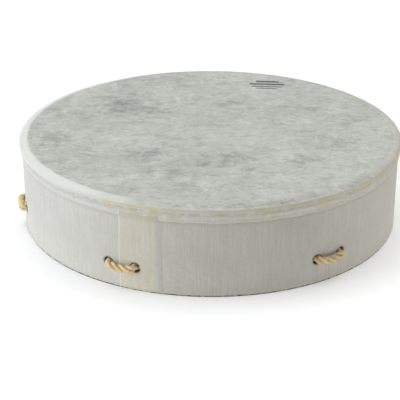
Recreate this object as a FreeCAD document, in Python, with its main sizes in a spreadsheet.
"""Frame drum, 16 inch class: a laced, open-backed ring drum with a bonded film head and collar.

Frame: origin on the drum's axis in the plane of the bottom rim, +Z up towards the playing head,
-Y towards the front. An azimuth is measured from -Y towards +X. All sizes are in millimetres.
"""
import FreeCAD, Part
import math
import os
import re
import Sketcher

Vector = FreeCAD.Vector
Z_AXIS = Vector(0, 0, 1)

# The driving dimensions: alias, value, meaning.
DIMENSIONS = [
    ("TotalHeight", 94.5, "bottom rim to the flat of the head"),
    ("ShellRadius", 200.0, "outside of the bare shell"),
    ("ShellWall", 6.4, "wall of the laminated shell"),
    ("BearingDrop", 1.2, "slope of the bearing edge across the wall"),
    ("FilmThickness", 0.4, "head film"),
    ("CollarRadius", 203.2, "outside of the collar's skirt"),
    ("SkirtBottom", 88.0, "lower edge of the collar's skirt"),
    ("CrownWidth", 10.0, "rim that rounds over from the flat to the skirt"),
    ("CrownRadius", 22.0, "gentle arc from the flat towards the rim"),
    ("CrownTurn", 24.0, "degrees turned by that arc"),
    ("FilmTurn", 20.5, "degrees of that arc that are the head film, before the collar takes over"),
    ("JointTurn", 0.1, "degrees of that arc between film and collar"),
    ("CoverThickness", 0.6, "cloth round the shell"),
    ("CoverBottom", 1.2, "bare shell showing under the cloth"),
    ("CoverTop", 91.5, "upper edge of the cloth, under the hoop"),
    ("LapAzimuth", -26.0, "free edge of the cloth where it laps over itself"),
    ("LapSpan", 11.0, "degrees of lap"),
    ("StripBottom", 78.0, "lower edge of the bonding strip"),
    ("StripTop", 91.0, "upper edge of the bonding strip, under the skirt"),
    ("StripThickness", 0.5, "bonding strip"),
    ("HoopThickness", 1.6, "hoop under the strip"),
    ("HoopBottom", 83.0, "lower edge of the hoop"),
    ("HoopTop", 91.6, "upper edge of the hoop"),
    ("HoopTaper", 3.0, "height of the hoop's feathered lower edge"),
    ("HoopEdge", 0.1, "thickness left at that edge"),
    ("StripLead", 0.6, "the strip leaves the cloth this far under the hoop"),
    ("StripEarly", 0.4, "the strip is at its full radius this far under the hoop's full thickness"),
    ("StripSkew", 0.2, "the strip's outer bends lie this far under its inner ones"),
    ("BondGap", 0.02, "bond line between neighbouring rings"),
    ("HoleDiameter", 10.4, "lacing hole"),
    ("HoleHalfAngle", 4.22, "half the angle between the two holes of a pair"),
    ("RopeDiameter", 7.6, "lacing rope"),
    ("RopeEndGap", 0.4, "between a rope's two ends, inside a whipping"),
    ("StrandOffset", 3.9, "half the distance between paired strands at the hub"),
    ("HubHeight", 25.5, "bottom rim to the middle rope layer at the hub"),
    ("LayerStep", 8.0, "height between the rope layers where they cross"),
    ("HubReach", 20.0, "drum axis to where a strand leaves the level of its layer"),
    ("ForkReach", 60.0, "drum axis to where two paired strands part"),
    ("BendReach", 15.0, "most of a run that a gentle bend of the rope takes up"),
    ("StitchReach", 206.0, "axis to the rope's centre line in a stitch"),
    ("WhippingThickness", 2.8, "cord wound round each pair of strands"),
    ("WhippingLength", 14.0, "length of a whipping along its arm"),
    ("WhippingReach", 41.0, "drum axis to the middle of a whipping"),
    ("WhippingSlack", 0.3, "room between strands and whipping"),
    ("SeizingCord", 3.0, "cord of the hub's seizing loops"),
    ("SeizingWidth", 6.2, "two turns of that cord side by side"),
    ("SeizingReach", 24.6, "drum axis to the inside of a seizing loop"),
    ("SeizingGap", 0.2, "room between the outermost ropes and the first seizing loop"),
    ("SeizingStep", 3.2, "height between crossing seizing loops"),
]

RUN_SHARE = 0.45  # the most of a run between two route points that one bend may take
SHARP_HALF_TURN = math.radians(30)  # a rope that turns by twice this goes over a hole's edge
RIM_STEPS = 3  # arcs that the collar's tight bend is cut into

# Each rope spans the drum and back: azimuth of its first hole pair, height of its holes, layer at the hub.
ROPES = [(-79.5, 25.5, -1), (-25.4, 24.8, 0), (34.9, 26.3, 1)]

doc = FreeCAD.newDocument("FrameDrum")
sheet = doc.addObject("Spreadsheet::Sheet", "Dims")
for row, (alias, value, meaning) in enumerate(DIMENSIONS, start=1):
    sheet.set("A%d" % row, meaning)
    sheet.set("B%d" % row, str(value))
    sheet.setAlias("B%d" % row, alias)
doc.recompute()


def size(alias):
    """The number in one cell of the sheet."""
    return float(sheet.get(alias))


def amount(expression):
    """The number that an expression over the sheet's aliases gives."""
    value = doc.Dims.evalExpression(expression)
    return float(getattr(value, "Value", value))


def with_sheet(expression):
    """The same expression as other objects write it. Only aliases begin with a capital letter."""
    return re.sub(r"\b(?=[A-Z])\w+", r"Dims.\g<0>", expression)


def bind(target, prop, expression):
    target.setExpression(prop, with_sheet(expression))


def turned(azimuth, radius=0.0, height=0.0):
    """A placement whose local +X points outwards along an azimuth."""
    turn = FreeCAD.Rotation(Z_AXIS, azimuth - 90.0)
    return FreeCAD.Placement(turn.multVec(Vector(radius, 0, height)), turn)


def origin_feature(body, role):
    return next(f for f in body.Origin.OriginFeatures if f.Role == role)


def revolved_ring(name, label, corners):
    """A body turned about Z from a closed outline in the XZ plane.

    Each corner is (radius, height), or (radius, height, arc radius, way) where an arc runs on to the
    next corner, way 1 clockwise and -1 anticlockwise. The texts are written over the sheet's aliases."""
    body = doc.addObject("PartDesign::Body", name)
    body.Label = label
    sketch = body.newObject("Sketcher::SketchObject", name + "Outline")
    sketch.AttachmentSupport = [(origin_feature(body, "XZ_Plane"), "")]
    sketch.MapMode = "FlatFace"
    spots = [Vector(amount(c[0]), amount(c[1]), 0) for c in corners]
    count = len(corners)
    starts = []
    for i, corner in enumerate(corners):
        here, there = spots[i], spots[(i + 1) % count]
        if len(corner) == 2:
            sketch.addGeometry(Part.LineSegment(here, there), False)
            starts.append((1, 2))
            continue
        radius, clockwise = amount(corner[2]), corner[3] > 0
        chord = there - here
        outwards = Vector(-chord.y, chord.x, 0).normalize() * corner[3]
        centre = here + chord * 0.5 - outwards * math.sqrt(radius ** 2 - chord.Length ** 2 / 4.0)
        first, last = (there, here) if clockwise else (here, there)
        angles = [math.atan2(p.y - centre.y, p.x - centre.x) for p in (first, last)]
        sketch.addGeometry(Part.ArcOfCircle(Part.Circle(centre, Z_AXIS, radius), *angles), False)
        starts.append((2, 1) if clockwise else (1, 2))
    for i in range(count):
        after = (i + 1) % count
        sketch.addConstraint(Sketcher.Constraint("Coincident", i, starts[i][1], after, starts[after][0]))
    for i, corner in enumerate(corners):
        for kind, text, value in (("DistanceX", corner[0], spots[i].x), ("DistanceY", corner[1], spots[i].y)):
            index = sketch.addConstraint(Sketcher.Constraint(kind, -1, 1, i, starts[i][0], value))
            bind(sketch, "Constraints[%d]" % index, text)
        if len(corner) > 2:
            index = sketch.addConstraint(Sketcher.Constraint("Radius", i, amount(corner[2])))
            bind(sketch, "Constraints[%d]" % index, corner[2])
    turn = body.newObject("PartDesign::Revolution", name + "Turn")
    turn.Profile = sketch
    turn.ReferenceAxis = (sketch, ["V_Axis"])
    turn.Angle = 360.0
    body.Tip = turn
    return body


def cylinder(name, radius, height, angle="360"):
    solid = doc.addObject("Part::Cylinder", name)
    bind(solid, "Radius", radius)
    bind(solid, "Height", height)
    bind(solid, "Angle", angle)
    return solid


def cut(name, base, tool):
    result = doc.addObject("Part::Cut", name)
    result.Base = base
    result.Tool = tool
    return result


def fuse(name, shapes):
    result = doc.addObject("Part::MultiFuse", name)
    result.Shapes = shapes
    return result


# ---------------------------------------------------------------- lacing holes
def hole_drills():
    """Twelve radial drills, two for each end of each rope."""
    drills = []
    half = size("HoleHalfAngle")
    for azimuth, height, _ in ROPES:
        for pair in (azimuth, azimuth + 180.0):
            for side in (-1, 1):
                drill = cylinder("Drill%d" % len(drills), "HoleDiameter / 2", "3 * ShellWall")
                outwards = turned(pair + side * half, size("ShellRadius") - 1.5 * size("ShellWall"), height)
                outwards.Rotation = outwards.Rotation.multiply(FreeCAD.Rotation(Vector(0, 1, 0), 90.0))
                drill.Placement = outwards
                drills.append(drill)
    return fuse("HoleDrills", drills)


# ---------------------------------------------------------------- shell and cloth
def make_shell(drills):
    """The laminated ring, its top planed to a bearing edge that is highest at the inside."""
    peak = "TotalHeight - FilmThickness - 2 * BondGap"
    blank = revolved_ring("ShellBlank", "shell_blank", [
        ("ShellRadius - ShellWall", "0"),
        ("ShellRadius", "0"),
        ("ShellRadius", peak + " - BearingDrop"),
        ("ShellRadius - ShellWall", peak),
    ])
    shell = cut("Shell", blank, drills)
    shell.Label = "shell"
    return shell


def make_cover(drills):
    """The cloth round the shell, with the lap where its two ends meet."""
    outer = cylinder("CoverOutside", "ShellRadius + BondGap + CoverThickness", "CoverTop - CoverBottom")
    bind(outer, "Placement.Base.z", "CoverBottom")
    lap = cylinder("CoverLap", "ShellRadius + BondGap + 2 * CoverThickness",
                   "StripBottom - BondGap - CoverBottom", "LapSpan")
    lap.Placement = turned(size("LapAzimuth"))
    bind(lap, "Placement.Base.z", "CoverBottom")
    inside = cylinder("CoverInside", "ShellRadius + BondGap", "TotalHeight")
    cloth = cut("CoverCloth", fuse("CoverBlank", [outer, lap]), inside)
    cover = cut("ShellCover", cloth, drills)
    cover.Label = "shell_cover"
    return cover


# ---------------------------------------------------------------- head
def make_hoop():
    """The narrow ring that the head is stretched over, feathered at its lower edge."""
    inner = "ShellRadius + CoverThickness + 2 * BondGap"
    outer = inner + " + HoopThickness"
    return revolved_ring("HeadHoop", "head_hoop", [
        (inner, "HoopBottom"),
        (inner + " + HoopEdge", "HoopBottom"),
        (outer, "HoopBottom + HoopTaper"),
        (outer, "HoopTop"),
        (inner, "HoopTop"),
    ])


def make_strip():
    """The fibre strip that bonds the hoop and the head's skirt to the cloth."""
    low = "ShellRadius + CoverThickness + 2 * BondGap"
    high = low + " + HoopThickness + BondGap"
    foot = "HoopBottom - StripLead"
    shoulder = "HoopBottom + HoopTaper - StripEarly"
    return revolved_ring("CollarStrip", "collar_strip", [
        (low, "StripBottom"),
        (low + " + StripThickness", "StripBottom"),
        (low + " + StripThickness", foot + " - StripSkew"),
        (high + " + StripThickness", shoulder + " - StripSkew"),
        (high + " + StripThickness", "StripTop"),
        (high, "StripTop"),
        (high, shoulder),
        (low, foot),
    ])


def crown_spot(turn, depth):
    """Radius and height on the crown's gentle arc, so many degrees round it and so deep below its surface."""
    radius = "(CollarRadius - CrownWidth) + (CrownRadius - %s) * sin((%s) * 1 deg)" % (depth, turn)
    height = "TotalHeight - CrownRadius + (CrownRadius - %s) * cos((%s) * 1 deg)" % (depth, turn)
    return radius, height


def make_head():
    """The film: a flat disc whose edge begins to round over the rim."""
    flat = "CollarRadius - CrownWidth"
    return revolved_ring("Drumhead", "drumhead", [
        ("0", "TotalHeight"),
        (flat, "TotalHeight", "CrownRadius", 1),
        crown_spot("FilmTurn", "0"),
        (*crown_spot("FilmTurn", "FilmThickness"), "CrownRadius - FilmThickness", -1),
        (flat, "TotalHeight - FilmThickness"),
        ("0", "TotalHeight - FilmThickness"),
    ])


def rim_arcs(depth, way):
    """The corners of the tight arc between crown and skirt, so deep below its surface.

    It ends upright at the skirt, which sets its radius. It is cut into RIM_STEPS equal arcs, because a
    ring turned from the whole arc meshes unevenly."""
    turn = "sin(CrownTurn * 1 deg)"
    surface = "(CrownWidth - CrownRadius * %s) / (1 - %s)" % (turn, turn)
    level = "%s - (%s) * cos(CrownTurn * 1 deg)" % (crown_spot("CrownTurn", "0")[1], surface)
    radius = "(%s) - %s" % (surface, depth)
    corners = []
    for step in range(RIM_STEPS + 1):
        angle = "(CrownTurn + (90 - CrownTurn) * %d / %d) * 1 deg" % (step, RIM_STEPS)
        out = "CollarRadius - (%s) + (%s) * sin(%s)" % (surface, radius, angle)
        corners.append((out, "%s + (%s) * cos(%s)" % (level, radius, angle), radius, way))
    return corners[::way]


def make_collar():
    """The band that takes over from the film, turns over the rim and ends in a short skirt."""
    start = "FilmTurn + JointTurn"
    *outer, (skirt_radius, skirt_top, _, _) = rim_arcs("0", 1)
    *inner, (crown_radius, crown_height, _, _) = rim_arcs("FilmThickness", -1)
    return revolved_ring("HeadCollar", "head_collar", [
        (*crown_spot(start, "0"), "CrownRadius", 1),
        *outer,
        (skirt_radius, skirt_top),
        ("CollarRadius", "SkirtBottom"),
        ("CollarRadius - FilmThickness", "SkirtBottom"),
        *inner,
        (crown_radius, crown_height, "CrownRadius - FilmThickness", -1),
        crown_spot(start, "FilmThickness"),
    ])


# ---------------------------------------------------------------- ropes
def rounded_path(points, radii):
    """A wire of straight runs joined by tangent arcs; radii[i] belongs to points[i + 1]."""
    edges = []
    last = points[0]
    for i, radius in enumerate(radii, start=1):
        here = points[i]
        back = (points[i - 1] - here).normalize()
        ahead = (points[i + 1] - here).normalize()
        half_turn = (math.pi - back.getAngle(ahead)) / 2.0
        reach = radius * math.tan(half_turn)
        first, final = here + back * reach, here + ahead * reach
        inwards = (back + ahead).normalize()
        middle = here + inwards * (radius / math.cos(half_turn) - radius)
        edges.append(Part.LineSegment(last, first).toShape())
        edges.append(Part.Arc(first, middle, final).toShape())
        last = final
    edges.append(Part.LineSegment(last, points[-1]).toShape())
    return Part.Wire(edges)


def strand_height(height, layer, spot):
    """The height of a strand's centre line at a distance from the axis, outside the hub."""
    low = size("HubHeight") + layer * size("LayerStep")
    hub = size("HubReach")
    return low + (height - low) * (spot - hub) / (size("StitchReach") - hub)


def rope_points(height, layer):
    """One rope's route in its own frame: +X along the first arm, Y across, in four mirrored quarters.

    It starts and ends inside a whipping on the far arm, where its two ends butt together."""
    strand = size("StrandOffset")
    low = size("HubHeight") + layer * size("LayerStep")
    reach, hub = size("StitchReach"), size("HubReach")
    fork, join = size("ForkReach"), size("WhippingReach")
    aside = reach * math.tan(math.radians(size("HoleHalfAngle")))
    fork_height, join_height = (strand_height(height, layer, spot) for spot in (fork, join))
    end_gap = size("RopeEndGap") / 2.0
    route = [Vector(-join + end_gap, -strand, join_height)]
    for across in (-1, 1):
        ahead = -across
        route += [Vector(-ahead * hub, across * strand, low), Vector(ahead * hub, across * strand, low),
                  Vector(ahead * fork, across * strand, fork_height),
                  Vector(ahead * reach, across * aside, height),
                  Vector(ahead * reach, -across * aside, height),
                  Vector(ahead * fork, -across * strand, fork_height)]
    route.append(Vector(-join - end_gap, -strand, join_height))
    return route


def bend_radii(points):
    """Bends as wide as the runs allow, and one rope diameter where a stitch turns over a hole's edge."""
    radii = []
    for i in range(1, len(points) - 1):
        back, ahead = points[i - 1] - points[i], points[i + 1] - points[i]
        half_turn = (math.pi - back.getAngle(ahead)) / 2.0
        widest = min(RUN_SHARE * min(back.Length, ahead.Length), size("BendReach")) / math.tan(half_turn)
        radii.append(size("RopeDiameter") if half_turn > SHARP_HALF_TURN else widest)
    return radii


def make_rope(number, azimuth, height, layer):
    points = rope_points(height, layer)
    path = doc.addObject("Part::Feature", "RopePath%d" % number)
    path.Shape = rounded_path(points, bend_radii(points))
    section = doc.addObject("Part::Circle", "RopeSection%d" % number)
    bind(section, "Radius", "RopeDiameter / 2")
    first = path.Shape.Edges[0]
    ahead = first.tangentAt(first.FirstParameter)
    section.Placement = FreeCAD.Placement(points[0], FreeCAD.Rotation(Z_AXIS, ahead))
    rope = doc.addObject("Part::Sweep", "LacingRope%d" % number)
    rope.Sections = [section]
    rope.Spine = (path, ["Edge%d" % (i + 1) for i in range(len(path.Shape.Edges))])
    rope.Solid = True
    rope.Frenet = False
    rope.Label = "lacing_rope_%d" % number
    rope.Placement = turned(azimuth)
    print("%s is %.0f mm long" % (rope.Label, path.Shape.Length))
    return rope


# ---------------------------------------------------------------- whippings and seizings
def stadium(sketch, half_length, radius):
    """A closed stadium about the origin: two half circles joined by straight sides."""
    a, r = amount(half_length), amount(radius)
    top = Part.LineSegment(Vector(-a, r, 0), Vector(a, r, 0))
    bottom = Part.LineSegment(Vector(a, -r, 0), Vector(-a, -r, 0))
    right = Part.Arc(Vector(a, r, 0), Vector(a + r, 0, 0), Vector(a, -r, 0))
    left = Part.Arc(Vector(-a, -r, 0), Vector(-a - r, 0, 0), Vector(-a, r, 0))
    first = sketch.addGeometry(top, False)
    sketch.addGeometry([right, bottom, left], False)
    right_arc, low_side, left_arc = first + 1, first + 2, first + 3
    for one, its, two, their in ((first, 2, right_arc, 2), (right_arc, 1, low_side, 1),
                                 (low_side, 2, left_arc, 2), (left_arc, 1, first, 1)):
        sketch.addConstraint(Sketcher.Constraint("Tangent", one, its, two, their))
    sketch.addConstraint(Sketcher.Constraint("Horizontal", first))
    sketch.addConstraint(Sketcher.Constraint("Symmetric", left_arc, 3, right_arc, 3, -1, 1))
    index = sketch.addConstraint(Sketcher.Constraint("Radius", right_arc, r))
    bind(sketch, "Constraints[%d]" % index, radius)
    index = sketch.addConstraint(Sketcher.Constraint("DistanceX", left_arc, 3, right_arc, 3, 2 * a))
    bind(sketch, "Constraints[%d]" % index, "2 * (%s)" % half_length)


def make_whipping(number, azimuth, height, layer):
    """The cord wound round the two strands of one arm, as the sleeve that its turns fill."""
    body = doc.addObject("PartDesign::Body", "ArmWhipping%d" % number)
    sketch = body.newObject("Sketcher::SketchObject", "WhippingOutline%d" % number)
    sketch.AttachmentSupport = [(origin_feature(body, "YZ_Plane"), "")]
    sketch.MapMode = "FlatFace"
    bore = "RopeDiameter / 2 + WhippingSlack"
    stadium(sketch, "StrandOffset", bore)
    stadium(sketch, "StrandOffset", bore + " + WhippingThickness")
    sleeve = body.newObject("PartDesign::Pad", "WhippingSleeve%d" % number)
    sleeve.Profile = sketch
    sleeve.Midplane = True
    bind(sleeve, "Length", "WhippingLength")
    body.Tip = sleeve
    reach = size("WhippingReach")
    middle = strand_height(height, layer, reach)
    slope = strand_height(height, layer, reach + 1.0) - middle
    tilt = FreeCAD.Rotation(Vector(0, 1, 0), -math.degrees(math.atan(slope)))
    place = turned(azimuth, reach, middle)
    place.Rotation = place.Rotation.multiply(tilt)
    body.Placement = place
    body.Label = "arm_whipping_%d" % number
    return body


def upright_box(name, reach, room):
    """A box about the hub, as wide as a seizing, that reaches so far out and up from the hub's middle."""
    box = doc.addObject("Part::Box", name)
    for prop, expression in (("Length", "2 * " + reach), ("Width", "SeizingWidth"), ("Height", "2 * " + room),
                             ("Placement.Base.x", "-" + reach), ("Placement.Base.y", "-SeizingWidth / 2"),
                             ("Placement.Base.z", "HubHeight - " + room)):
        bind(box, prop, expression)
    return box


def make_seizing(number, azimuth, level):
    """One upright loop round all the crossing ropes, in the gap between two arms and its opposite."""
    reach = "(SeizingReach + %d * BondGap)" % level
    room = "(LayerStep + RopeDiameter / 2 + SeizingGap + %d * SeizingStep)" % level
    outside = upright_box("SeizingOuter%d" % number,
                          "(%s + SeizingCord)" % reach, "(%s + SeizingCord)" % room)
    hollow = upright_box("SeizingInner%d" % number, reach, room)
    doc.recompute()
    cord = size("SeizingCord")
    rounded = []
    for box, radius in ((outside, 2.0 * cord), (hollow, cord)):
        fillet = doc.addObject("Part::Fillet", box.Name + "Rounded")
        fillet.Base = box
        along_y = [i for i, edge in enumerate(box.Shape.Edges, start=1)
                   if abs(edge.tangentAt(edge.FirstParameter).y) > 0.99]
        fillet.Edges = [(i, radius, radius) for i in along_y]
        rounded.append(fillet)
    ring = cut("HubSeizing%d" % number, rounded[0], rounded[1])
    ring.Label = "hub_seizing_%d" % number
    ring.Placement = turned(azimuth)
    return ring


# ---------------------------------------------------------------- assembly
drills = hole_drills()
parts = [make_shell(drills), make_cover(drills), make_hoop(), make_strip(), make_head(), make_collar()]
for number, (azimuth, height, layer) in enumerate(ROPES, start=1):
    parts.append(make_rope(number, azimuth, height, layer))
    parts.append(make_whipping(2 * number - 1, azimuth, height, layer))
    parts.append(make_whipping(2 * number, azimuth + 180.0, height, layer))
arms = [rope[0] for rope in ROPES] + [ROPES[0][0] + 180.0]
for number in range(1, 4):
    parts.append(make_seizing(number, (arms[number - 1] + arms[number]) / 2.0, number - 1))
doc.recompute()

for item in doc.Objects:
    if "Invalid" in item.State or "Error" in item.State:
        raise RuntimeError("%s is in state %s" % (item.Label, item.State))
os.makedirs("parts", exist_ok=True)
for piece in parts:
    if piece.Shape.isNull() or not piece.Shape.isValid():
        raise RuntimeError("%s has no valid shape" % piece.Label)
for piece in parts:
    piece.Shape.exportStep(os.path.join("parts", piece.Label + ".step"))
    box = piece.Shape.BoundBox
    print("%-18s solids %d  volume %.0f  x %.1f..%.1f  y %.1f..%.1f  z %.2f..%.2f" % (
        piece.Label, len(piece.Shape.Solids), piece.Shape.Volume,
        box.XMin, box.XMax, box.YMin, box.YMax, box.ZMin, box.ZMax))
